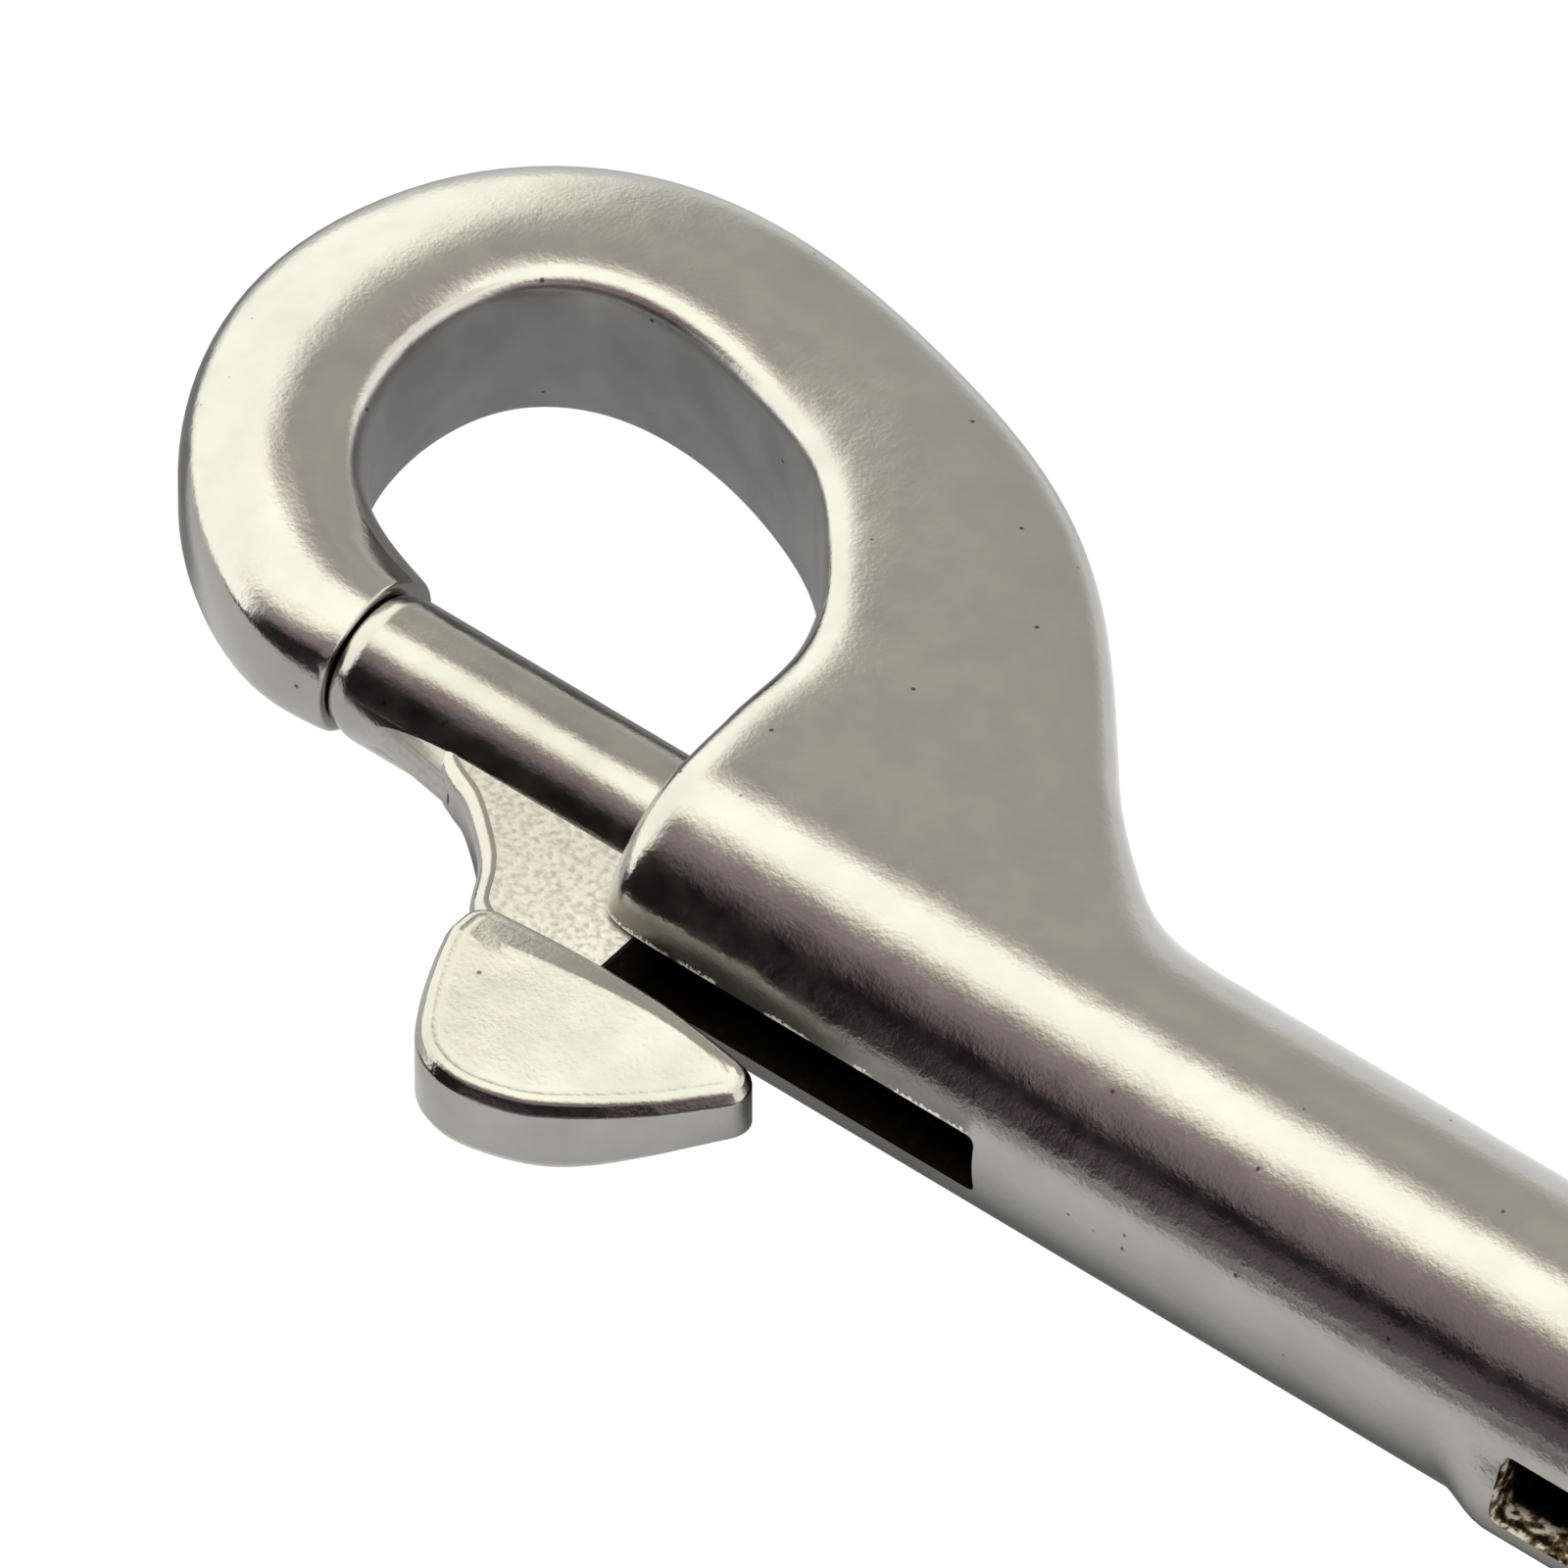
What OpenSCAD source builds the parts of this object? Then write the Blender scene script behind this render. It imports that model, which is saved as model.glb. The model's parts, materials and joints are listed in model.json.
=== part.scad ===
// Double ended snap hook: one cast body with an eye at each end, and in each
// mouth of its barrel a sprung gate bolt that closes the eye.
// Millimetres. X runs along the barrel, the eyes stand to +Y and the thumb
// knobs to -Y, and the hook lies flat with +Z up.

/* [Barrel] */
// Outside diameter of the barrel
barrel_d = 12; // [10:0.5:15]
// Length of the barrel from mouth to mouth
barrel_len = 61.6; // [50:1:80]
// Radius of the rounded lip round each mouth
lip_r = 1.8; // [0.5:0.1:2.2]
// Thickness of the solid wall between the two bores
mid_wall = 3; // [1:0.5:6]

/* [Slots] */
// Length of each slot from the mouth to its closed end
slot_len = 18.4; // [12:0.1:22]
// Width of each slot
slot_w = 2.9; // [2:0.1:3.6]
// Radius in the corners of a slot's closed end
slot_corner = 0.4; // [0.2:0.1:0.9]
// How far the raised rim round the right slot stands proud of the barrel
rim_proud = 0.8; // [0.3:0.1:1.2]
// How far the rim reaches past the closed end of its slot, before its ramp
rim_past = 1; // [0.5:0.1:2]
// Length of the ramp at each end of that rim
rim_ramp = 2.8; // [1:0.1:4]

/* [Eye] */
// Opening between the mouth and the nose, which the gate bolt closes
gate_len = 15; // [11:0.5:18]
// Height of the eye's inner wall above the barrel's axis
eye_top = 17.8; // [15:0.1:23]
// How far the eye reaches beyond the nose, inside
eye_past_nose = 7.1; // [5:0.1:9]
// Width of the crown at its top
crown_w = 7.3; // [5:0.1:9]
// Width of the eye's far side, beyond the nose
side_w = 7.5; // [5:0.1:9]
// Thickness of the crown
crown_t = 7.4; // [6:0.1:9]
// How far the hook's root runs along the barrel from the mouth
root_len = 20.5; // [16:0.5:26]
// Radius along the inner edges of the eye
eye_edge = 1; // [0.3:0.1:1.5]
// How far the eye's inner wall stands out at the parting line
draft = 0.4; // [0:0.1:0.8]

/* [Gate bolt] */
// Diameter of the bolt
bolt_d = 5.9; // [4:0.1:7]
// Radial clearance of the bolt in its bore
bore_gap = 0.06; // [0.02:0.01:0.1]
// Gap between the bolt's tip and the nose, when closed
nose_gap = 0.1; // [0.05:0.05:0.3]
// Bevel round the bolt's ends
tip_bevel = 0.5; // [0.2:0.1:0.8]
// How much wider than the bolt the nose is, on the radius
nose_proud = 0.15; // [0:0.05:0.4]
// Length of the bolt inside the barrel, when closed
bolt_in = 7; // [5:0.5:9]
// Clearance of the web on each side of the slot
slot_gap = 0.2; // [0.1:0.05:0.4]
// How far the web reaches into the barrel, when closed
web_in = 2.3; // [1:0.1:3]

/* [Thumb knob] */
// Thickness of the knob at its low edge
knob_t = 3.6; // [3:0.1:5]
// How much further each face of the knob stands out beside the barrel
knob_rise = 1.2; // [0:0.1:1.6]
// Length of the knob along the barrel
knob_len = 13.5; // [10:0.1:17]
// How far the knob's front stands ahead of the mouth, when closed
knob_ahead = 3.1; // [2:0.1:5]
// Depth of the knob, away from the barrel
knob_deep = 7.6; // [5:0.1:10]
// Clearance between the knob and the barrel
knob_gap = 2.2; // [1:0.1:3]
// Radius of the knob's two upper corners, in plan
knob_corner = 1.1; // [1:0.1:1.6]
// Radius round the knob's edges
knob_edge = 0.7; // [0.3:0.1:0.9]

/* [Spring] */
// Wire diameter
wire_d = 0.65; // [0.4:0.05:0.8]
// Clearance between the spring and the bore, on the radius
spring_gap = 0.35; // [0.2:0.05:0.6]
// Number of turns, the closed end turns among them
spring_turns = 9; // [6:0.5:9]
// Gap between the spring and what it bears on, at each end
seat_gap = 0.05; // [0.02:0.01:0.1]

/* [Hidden] */

$fn = 96;
barrel_r = barrel_d / 2;
half_len = barrel_len / 2;
bolt_r = bolt_d / 2;
bore_r = bolt_r + bore_gap;
bore_deep = half_len - mid_wall / 2;
web_t = slot_w - 2 * slot_gap;
nose_r = bolt_r + nose_proud;
knob_top = -barrel_r - knob_gap;
knob_low = knob_top - knob_deep;
crown_top = eye_top + crown_w;
crown_far = -gate_len - eye_past_nose - side_w;

// The frame: origin under the middle of the whole hook, on the surface it lies on.
place = [0, -(crown_top + knob_low) / 2, barrel_r];

// ---- helpers ----

// A smooth curve through the rows of a table, four rows at a time.
function between(a, b, c, d, t) =
    0.5 * (2 * b + (c - a) * t + (2 * a - 5 * b + 4 * c - d) * t * t
    + (3 * b - 3 * c + d - a) * t * t * t);
function row_at(rows, k) = rows[max(0, min(len(rows) - 1, k))];
function smooth_rows(rows, steps) = [
    for (k = [0 : len(rows) - 2], s = [0 : steps - 1])
        between(row_at(rows, k - 1), rows[k], rows[k + 1], row_at(rows, k + 2), s / steps),
    rows[len(rows) - 1]
];

// Points of an arc about centre c, from one angle to another, in n steps.
function arc(c, r, from, to, n) =
    [for (k = [0 : n]) let (a = from + (to - from) * k / n) c + r * [cos(a), sin(a)]];

// Section of the hook: w wide and 2h thick, its edges rounded by ri inside and ro
// outside, and its inner wall drafted both ways from the casting's parting line.
function section(w, h, ri, ro, n) = concat(
    arc([w - ro, h - ro], ro, 0, 90, n), arc([ri, h - ri], ri, 90, 180, n), [[-draft, 0]],
    arc([ri, ri - h], ri, 180, 270, n), arc([w - ro, ro - h], ro, 270, 360, n)
);

// One ring of the hook's skin, from a row of the table.
function ring(row, n) =
    let (inner = [row[0], row[1]], across = [row[2], row[3]] - inner,
         w = norm(across), way = across / w)
    [for (p = section(w, row[4], row[5], row[6], n))
        [inner[0] + way[0] * p[0], inner[1] + way[1] * p[0], p[1]]];

// A closed skin over rings that all have the same number of points.
module skin(rings) {
    n = len(rings[0]);
    m = len(rings);
    sides = [
        for (i = [0 : m - 2], j = [0 : n - 1])
            let (a = i * n + j, b = i * n + (j + 1) % n) [a, b, b + n, a + n]
    ];
    first = [for (j = [n - 1 : -1 : 0]) j];
    last = [for (j = [0 : n - 1]) (m - 1) * n + j];
    polyhedron([for (r = rings) each r], concat([first], sides, [last]));
}

// ---- the body ----

// Half the hook's thickness, at a stage from 1 at the root, by 0 at the crown, to -1
// at the nose. The root stays inside the barrel's round.
root_inset = 0.5;
function half_thick(stage) =
    let (crown = crown_t / 2, end = stage > 0 ? barrel_r - root_inset : nose_r)
    crown + abs(stage) * (end - crown);

// Points on the eye's inner wall, over the gate and past the nose, and on its outer
// wall, on the crown's side and on the root's. Each takes shares of the sizes above.
function over_gate(x, y) = [-gate_len * x, eye_top * y];
function past_nose(x, y) = [-gate_len - eye_past_nose * x, eye_top * y];
function crown_at(x, y) = [crown_far * x, crown_top * y];
function root_at(x, y) = [root_len * x, crown_top * y];

// A row of the hook's table: where its inner and outer wall stand, half its
// thickness, and the radius of its inner and outer edges.
function station(inner, outer, stage, ri, ro) =
    [inner[0], inner[1], outer[0], outer[1], half_thick(stage), ri, ro];

// The hook, from its root in the barrel, round the eye, to its nose.
hook_rows = [
    station([lip_r, 1], [root_len, 1], 0.8, 1.5, 3.5),
    station([0, barrel_r / 2], [root_len - 0.7, barrel_r * 0.75], 1, 1.8, 3.4),
    station(over_gate(0.04, 0.38), root_at(0.77, 0.28), 0.8, 1.6, 2.2),
    station(over_gate(0.11, 0.56), root_at(0.6, 0.412), 0.6, 1.3, 1.7),
    station(over_gate(0.25, 0.72), root_at(0.356, 0.635), 0.43, eye_edge, 1.7),
    station(over_gate(0.43, 0.86), root_at(0.062, 0.82), 0.27, eye_edge, 1.8),
    station(over_gate(0.67, 0.95), crown_at(0.208, 0.938), 0.05, eye_edge, 1.9),
    station(over_gate(0.93, 1), crown_at(0.475, 1), 0, eye_edge, 2.2),
    station(past_nose(0.42, 0.985), crown_at(0.72, 0.966), 0, eye_edge, 3),
    station(past_nose(0.85, 0.86), crown_at(0.917, 0.785), 0, eye_edge, 3.5),
    station(past_nose(1, 0.65), crown_at(1, 0.487), 0, 1, 3.6),
    station(past_nose(0.91, 0.44), crown_at(0.946, 0.206), 0, 1.2, 3.5),
    station(past_nose(0.67, 0.293), crown_at(0.816, 0.008), -0.1, 1.7, 3.4),
    station([-gate_len - 0.34 * eye_past_nose, 1.28 * nose_r],
        [crown_far * 0.65, -0.86 * nose_r], -0.7, 2.6, 3.1),
    station([-gate_len, nose_r + 0.4], [-gate_len, 0.2 - nose_r], -1, nose_r - 0.1, nose_r - 0.1)
];

module hook() {
    skin([for (row = smooth_rows(hook_rows, 3)) ring(row, 4)]);
}

module barrel() {
    rotate([0, 90, 0])
        rotate_extrude()
            polygon(concat([[0, 0]], [[barrel_r - lip_r, 0]],
                [for (a = [0 : 15 : 90]) [barrel_r - lip_r + lip_r * sin(a), lip_r - lip_r * cos(a)]],
                [[barrel_r, half_len], [0, half_len]]));
}

// The slot as it is cut, along the barrel's -Y side.
module slot() {
    rotate([90, 0, 0])
        linear_extrude(barrel_r + rim_proud + 1)
            union() {
                translate([-1, -slot_w / 2])
                    square([slot_len + 1 - slot_corner, slot_w]);
                translate([0, slot_corner - slot_w / 2])
                    square([slot_len, slot_w - 2 * slot_corner]);
                for (side = [-1, 1])
                    translate([slot_len - slot_corner, side * (slot_w / 2 - slot_corner)])
                        circle(slot_corner, $fn = 24);
            }
}

// The raised rim round the right slot: a slimmer cylinder set off towards the slot,
// so that it leaves the barrel's skin at a shallow angle, with a ramp at each end.
module rim() {
    offset_y = barrel_r / 4;
    r = barrel_r + rim_proud - offset_y;
    flat_end = slot_len + rim_past;
    ramp_end = flat_end + rim_ramp;
    translate([0, -offset_y, 0])
        rotate([0, 90, 0])
            rotate_extrude()
                polygon([[0, lip_r], [r - rim_proud, lip_r], [r, lip_r + rim_ramp], [r, flat_end],
                    [r - rim_proud / 4, flat_end + rim_ramp / 4],
                    [r - rim_proud * 1.1, ramp_end], [0, ramp_end]]);
}

module bore() {
    translate([-1, 0, 0])
        rotate([0, 90, 0])
            cylinder(r = bore_r, h = bore_deep + 1);
}

// One end of the casting, its mouth at x = 0 and the middle of the barrel at half_len.
module body_end(with_rim) {
    difference() {
        union() {
            barrel();
            hook();
            if (with_rim) rim();
        }
        bore();
        slot();
    }
}

// Left end: its mouth lies at -half_len. The right end mirrors it.
module at_left() {
    translate(place) translate([-half_len, 0, 0]) children();
}

module at_right() {
    translate(place) mirror([1, 0, 0]) translate([-half_len, 0, 0]) children();
}

module body() {
    color("gainsboro") {
        at_left() body_end(false);
        at_right() body_end(true);
    }
}

// ---- the gate bolts ----

// Front edge of the web, from the bolt's tip, where it is a low keel, down its hollow
// to the knob. Shares of the way from the knob's front to the nose, and from the
// bolt's underside to the knob.
function web_at(x, y) =
    [-knob_ahead - (gate_len - knob_ahead) * x, -bolt_r + (knob_top + bolt_r) * y];
web_front = smooth_rows([
    web_at(0.94, -0.07), web_at(0.87, 0.02), web_at(0.62, 0.03), web_at(0.48, 0.07),
    web_at(0.29, 0.28), web_at(0.13, 0.62), web_at(0.05, 0.98), web_at(-0.05, 1.1)
], 3);

module bolt() {
    rotate([0, 90, 0])
        translate([0, 0, nose_gap - gate_len])
            rotate_extrude()
                polygon([[0, 0], [bolt_r - tip_bevel, 0], [bolt_r, tip_bevel],
                    [bolt_r, gate_len - nose_gap + bolt_in - tip_bevel],
                    [bolt_r - tip_bevel, gate_len - nose_gap + bolt_in],
                    [0, gate_len - nose_gap + bolt_in]]);
}

module web() {
    translate([0, 0, -web_t / 2])
        linear_extrude(web_t)
            polygon(concat([[web_front[0][0], 0]], web_front,
                [[web_in, knob_top - knob_edge / 2], [web_in, 0]]));
}

// Outline of the knob: an arc at each upper corner, and between them a smooth curve
// round its lower side, in shares of its length and of its depth.
function knob_at(x, y) = [knob_len * x - knob_ahead, knob_top - knob_deep * y];
knob_low_side = smooth_rows([
    knob_at(0, 0.25), knob_at(0.04, 0.46), knob_at(0.1, 0.69), knob_at(0.175, 0.88),
    knob_at(0.275, 0.98), knob_at(0.4, 1), knob_at(0.57, 0.92), knob_at(0.72, 0.74),
    knob_at(0.86, 0.5)
], 3);
knob_outline = concat(
    arc(knob_at(0, 0) + knob_corner * [1, -1], knob_corner, 90, 180, 4),
    knob_low_side,
    arc(knob_at(1, 0) + knob_corner * [-1, -1], knob_corner, -45, 90, 6)
);

// The same outline moved inwards by d, along the normal at each point.
function inset(points, d) = [
    for (k = [0 : len(points) - 1])
        let (n = len(points), t = points[(k + 1) % n] - points[(k + n - 1) % n])
        points[k] + d * [-t[1], t[0]] / norm(t)
];

// Half the knob's thickness at a height y: its two faces spread towards the barrel.
function knob_half(y) = knob_t / 2 + knob_rise * (y - knob_low) / knob_deep;

module knob() {
    skin([for (side = [1, -1], k = [0 : 3])
        let (a = side > 0 ? 90 - 30 * k : -30 * k)
        [for (p = inset(knob_outline, knob_edge * (1 - cos(a))))
            [p[0], p[1], side * (knob_half(p[1]) - knob_edge) + knob_edge * sin(a)]]]);
}

module gate_bolt() {
    bolt();
    web();
    knob();
}

module gate_bolt_left() {
    color("silver") at_left() gate_bolt();
}

module gate_bolt_right() {
    color("silver") at_right() gate_bolt();
}

// ---- the springs ----

spring_from = bolt_in + seat_gap;
spring_to = bore_deep - seat_gap;
coil_r = bore_r - spring_gap - wire_d / 2;
wire_sides = 8;
steps_a_turn = 14;

// How far along the spring the wire has come after t turns: its end turns lie closed.
function wire_x(t) =
    let (low = spring_from + wire_d / 2, high = spring_to - wire_d / 2)
    t < 1 ? low + wire_d * t
    : t > spring_turns - 1 ? high - wire_d * (spring_turns - t)
    : low + wire_d + (high - low - 2 * wire_d) * (t - 1) / (spring_turns - 2);

function wire_ring(t) =
    let (a = 360 * t, x = wire_x(t))
    [for (k = [0 : wire_sides - 1])
        let (b = 360 * k / wire_sides, r = coil_r + wire_d / 2 * cos(b))
        [x + wire_d / 2 * sin(b), r * cos(a), r * sin(a)]];

module spring() {
    skin([for (k = [0 : spring_turns * steps_a_turn]) wire_ring(k / steps_a_turn)]);
}

module spring_left() {
    color("dimgray") at_left() spring();
}

module spring_right() {
    color("dimgray") at_right() spring();
}

body();
gate_bolt_left();
gate_bolt_right();
spring_left();
spring_right();
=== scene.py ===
# %% [markdown]
# # A double ended snap hook
#
# The hook is one steel casting: a round barrel with an eye at each end. In each mouth of
# the barrel slides a gate bolt, which a spring pushes across the gap of the eye, and a
# thumb knob under the bolt draws it back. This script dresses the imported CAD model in
# polished metal. It starts by loading that model, which fixes every size and place.

# %% Load the CAD model and measure it
import json
import math

import bmesh
import bpy
from mathutils import Matrix, Vector

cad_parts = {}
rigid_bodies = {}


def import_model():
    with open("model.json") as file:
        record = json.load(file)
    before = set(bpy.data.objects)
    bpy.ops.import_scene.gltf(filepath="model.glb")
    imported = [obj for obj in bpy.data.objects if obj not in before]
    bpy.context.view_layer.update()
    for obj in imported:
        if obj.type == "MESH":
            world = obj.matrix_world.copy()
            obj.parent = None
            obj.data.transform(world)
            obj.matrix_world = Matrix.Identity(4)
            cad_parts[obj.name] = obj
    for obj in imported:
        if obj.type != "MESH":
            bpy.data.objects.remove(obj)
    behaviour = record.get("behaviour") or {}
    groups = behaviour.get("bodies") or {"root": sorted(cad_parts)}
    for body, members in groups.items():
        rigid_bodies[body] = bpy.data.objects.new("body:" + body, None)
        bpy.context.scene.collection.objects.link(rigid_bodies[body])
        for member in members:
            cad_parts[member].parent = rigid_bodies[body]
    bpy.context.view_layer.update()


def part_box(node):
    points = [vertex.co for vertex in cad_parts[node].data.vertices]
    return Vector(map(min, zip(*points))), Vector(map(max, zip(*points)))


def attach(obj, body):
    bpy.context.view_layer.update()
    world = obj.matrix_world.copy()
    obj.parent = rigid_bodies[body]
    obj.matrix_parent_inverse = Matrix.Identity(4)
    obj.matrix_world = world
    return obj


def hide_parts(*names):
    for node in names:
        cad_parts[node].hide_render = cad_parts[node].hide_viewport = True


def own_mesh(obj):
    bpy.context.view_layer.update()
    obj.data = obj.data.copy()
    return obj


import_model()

bpy.ops.object.select_all(action="DESELECT")

# %% [markdown]
# ## The driving sizes
#
# Small hardware is easier to model at one unit to the millimetre: in metres its finest
# edges would come near the distances at which Blender's tools merge points. So the pieces
# are modelled in millimetres, where the CAD has them, and each one is shrunk a thousandfold
# when it is finished. The sizes come from the boxes of the CAD nodes, with the few that no
# box shows given here.

# %% Sizes in millimetres
MM = 0.001


def box_mm(node):
    """The two corners of a CAD node's box, in millimetres."""
    low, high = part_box(node)
    return Vector(low) / MM, Vector(high) / MM


body_low, body_high = box_mm("body")
bolt_low, bolt_high = box_mm("gate_bolt_left")
spring_high = box_mm("spring_left")[1]

rim_proud = 0.8
gate_len = 15
nose_gap = 0.1
slot_len = 18.4
slot_w = 2.9
bolt_gap = 0.06
spring_gap = 0.05
barrel_r = (body_high.z - body_low.z) / 2
axis_y = body_low.y + barrel_r + rim_proud
axis_z = barrel_r
bolt_r = (bolt_high.z - bolt_low.z) / 2
bore_r = bolt_r + bolt_gap
half_len = -bolt_low.x - (gate_len - nose_gap)
bore_deep = half_len + spring_high.x + spring_gap
print(f"barrel radius {barrel_r:.2f}, mouths at X {-half_len:.2f} and {half_len:.2f}")
print(f"barrel axis at Y {axis_y:.2f}, bolt radius {bolt_r:.2f}, bore {bore_deep:.2f} deep")

# %% [markdown]
# Every shape at an end of the hook is measured from its mouth: x runs into the barrel from
# the plane of the mouth, y and z from the barrel's axis, with the eye to +y and the knob
# to -y. The left end is modelled, and the right end mirrors it.

# %% Helpers for placing and selecting


def at(x, y, z):
    """A point of the left end, given from its mouth, as a place in the frame."""
    return Vector((x - half_len, y + axis_y, z + axis_z))


def from_mouth(point):
    """The other way: a place in the frame as x, y and z from the left mouth."""
    return Vector((point.x + half_len, point.y - axis_y, point.z - axis_z))


def only(piece):
    """Leaves object mode with one piece selected and active."""
    if bpy.context.mode != "OBJECT":
        bpy.ops.object.mode_set(mode="OBJECT")
    bpy.ops.object.select_all(action="DESELECT")
    piece.select_set(True)
    bpy.context.view_layer.objects.active = piece


def edit(piece, select="SELECT", mode="FACE"):
    """Goes into edit mode on one piece, with all of it or none of it selected."""
    only(piece)
    bpy.ops.object.mode_set(mode="EDIT")
    bpy.ops.mesh.select_mode(type=mode)
    bpy.ops.mesh.select_all(action=select)


def pick_faces(piece, test):
    """Selects the faces that pass a test of their centre and normal, from the mouth."""
    edit(piece, "DESELECT")
    mesh = bmesh.from_edit_mesh(piece.data)
    chosen = [f for f in mesh.faces if test(from_mouth(f.calc_center_median()), f.normal)]
    for face in chosen:
        face.select_set(True)
    bmesh.update_edit_mesh(piece.data)


def apply_modifier(piece, kind, **settings):
    """Adds a modifier, sets it up and applies it."""
    only(piece)
    modifier = piece.modifiers.new(kind.title(), kind)
    for name, value in settings.items():
        setattr(modifier, name, value)
    bpy.ops.object.modifier_apply(modifier=modifier.name)


def rod(name, sides, r, length, middle, lean=0.0):
    """A cylinder along the barrel, leaning from it by an angle in the hook's plane."""
    bpy.ops.object.select_all(action="DESELECT")
    bpy.ops.mesh.primitive_cylinder_add(vertices=sides, radius=r, depth=length, location=middle,
                                        rotation=(0, math.pi / 2, -lean))
    piece = bpy.context.object
    piece.name = name
    only(piece)
    bpy.ops.object.transform_apply(location=True, rotation=True, scale=True)
    return piece


def to_metres(piece):
    """Shrinks a piece from millimetres to metres about the frame's origin."""
    only(piece)
    piece.scale = (MM, MM, MM)
    bpy.ops.object.transform_apply(location=True, rotation=True, scale=True)


# %% [markdown]
# ## Camera
#
# The camera stands about 50 degrees above the hook and to its right, and looks at the
# left half of it. A very long lens far away keeps parallel edges nearly parallel, as in a
# close catalogue picture.

# %% Camera
camera_azimuth = math.radians(39)
camera_height = math.radians(47)
camera_far = 2.0
field_mm = 58.0
sensor_mm = 36
camera_target = Vector((-29.93, 0.05, 6.0)) * MM

camera_back = Vector((
    math.sin(camera_azimuth) * math.cos(camera_height),
    -math.cos(camera_azimuth) * math.cos(camera_height),
    math.sin(camera_height),
))
bpy.ops.object.camera_add(location=camera_target + camera_back * camera_far)
camera = bpy.context.object
camera.rotation_euler = camera_back.to_track_quat("Z", "Y").to_euler()
camera.data.sensor_width = sensor_mm
camera.data.lens = sensor_mm * camera_far / (field_mm * MM)
camera.data.clip_end = 20
bpy.context.scene.camera = camera
bpy.context.scene.view_settings.view_transform = "Standard"
print(f"camera lens {camera.data.lens:.0f} mm at {camera_far} m")

# %% [markdown]
# ## Nodes and colours
#
# Each material and the room round the hook is a tree of nodes. One function adds a node
# with its settings and links, and one turns a hex colour, as a colour picker gives it,
# into the linear values that the shaders use.

# %% Helpers for nodes


def linear(hex_colour):
    """A hex colour such as "b0a890" as linear red, green and blue."""
    parts = [int(hex_colour[k:k + 2], 16) / 255 for k in (0, 2, 4)]
    return [c / 12.92 if c <= 0.04045 else ((c + 0.055) / 1.055) ** 2.4 for c in parts]


def add(tree, kind, settings=None, **inputs):
    """Adds a node. Each input is a value, or a node's output to link. Inputs are named
    as on the node, with _ for a space, or in_0, in_1 by their order."""
    node = tree.nodes.new(kind)
    for name, value in (settings or {}).items():
        setattr(node, name, value)
    for name, value in inputs.items():
        if name.startswith("in_"):
            socket = node.inputs[int(name[3:])]
        else:
            socket = node.inputs[name.replace("_", " ")]
        if isinstance(value, bpy.types.NodeSocket):
            tree.links.new(value, socket)
        elif isinstance(value, str):
            socket.default_value = (*linear(value), 1)
        else:
            socket.default_value = value
    return node


def ramp(tree, factor, stops):
    """A colour ramp through (place, hex colour) stops."""
    node = add(tree, "ShaderNodeValToRGB", in_0=factor)
    points = node.color_ramp.elements
    while len(points) < len(stops):
        points.new(0.5)
    for point, (place, colour) in zip(points, stops):
        point.position = place
        point.color = (*linear(colour), 1)
    return node.outputs["Color"]


def maths(tree, operation, a, b=0.5, c=0.0):
    """A Math node's result."""
    node = add(tree, "ShaderNodeMath", {"operation": operation}, in_0=a, in_1=b, in_2=c)
    return node.outputs[0]


def blend(tree, share_b, a, b):
    """Colour a where share_b is 0 and colour b where it is 1."""
    return add(tree, "ShaderNodeMix", {"data_type": "RGBA"}, in_0=share_b, in_6=a, in_7=b).outputs[2]


def eased(tree, value, start, stop):
    """0 before start and 1 past stop, with a soft step between them."""
    node = add(tree, "ShaderNodeMapRange", {"interpolation_type": "SMOOTHSTEP"}, Value=value,
               From_Min=start, From_Max=stop, To_Min=0.0, To_Max=1.0)
    return node.outputs[0]


# %% [markdown]
# ## The room
#
# Polished metal has hardly any colour of its own: what the eye reads as bands along the
# barrel is the room, squeezed into thin lines by the round of the metal. So the light here
# is a ring of long panels that run parallel to the barrel: a bright warm one nearly
# overhead, grey ones either side, a dark gap low in front, and the pale floor below. The
# world's colour is picked by the angle round the barrel's axis, from straight up towards
# the front.

# %% The world: panels round the barrel
world = bpy.data.worlds.new("studio_room")
bpy.context.scene.world = world
world.use_nodes = True
room = world.node_tree
room.nodes.clear()
way = add(room, "ShaderNodeSeparateXYZ", in_0=add(room, "ShaderNodeTexCoord").outputs["Generated"])
front = maths(room, "MULTIPLY", way.outputs["Y"], -1)
turn = maths(room, "ARCTAN2", front, way.outputs["Z"])
turn_share = maths(room, "MULTIPLY_ADD", turn, 1 / (2 * math.pi), 0.5)


def share(degrees):
    """An angle from straight up, towards the front, as a place on the ramp."""
    return degrees / 360 + 0.5


panels = ramp(room, turn_share, [
    (share(-144), "c0c1c0"), (share(-93), "bcbdbb"), (share(-84), "a3a49f"),
    (share(-72), "91928a"), (share(-45), "97978e"), (share(-28), "8f8b85"),
    (share(-20), "c8c4ba"), (share(-14), "fffff2"), (share(9), "fffff2"),
    (share(17), "e0dccf"), (share(23), "9c9188"), (share(29), "7d6f71"),
    (share(54), "695c61"), (share(60), "1b161a"), (share(69), "120f12"),
    (share(75), "4b4247"), (share(92), "4b4449"),
])
# a panel beyond each end, which the sides of the eyes and the rims of the mouths mirror
high = eased(room, way.outputs["Z"], -0.05, 0.1)
# towards the front, the one on the left starts further out
in_front = maths(room, "MAXIMUM", front, 0.0)
left_far = maths(room, "MULTIPLY_ADD", in_front, 0.22, way.outputs["X"])
left_end = maths(room, "MULTIPLY", high, eased(room, left_far, -0.5, -0.68))
right_end = maths(room, "MULTIPLY", high, eased(room, way.outputs["X"], 0.3, 0.48))
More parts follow.
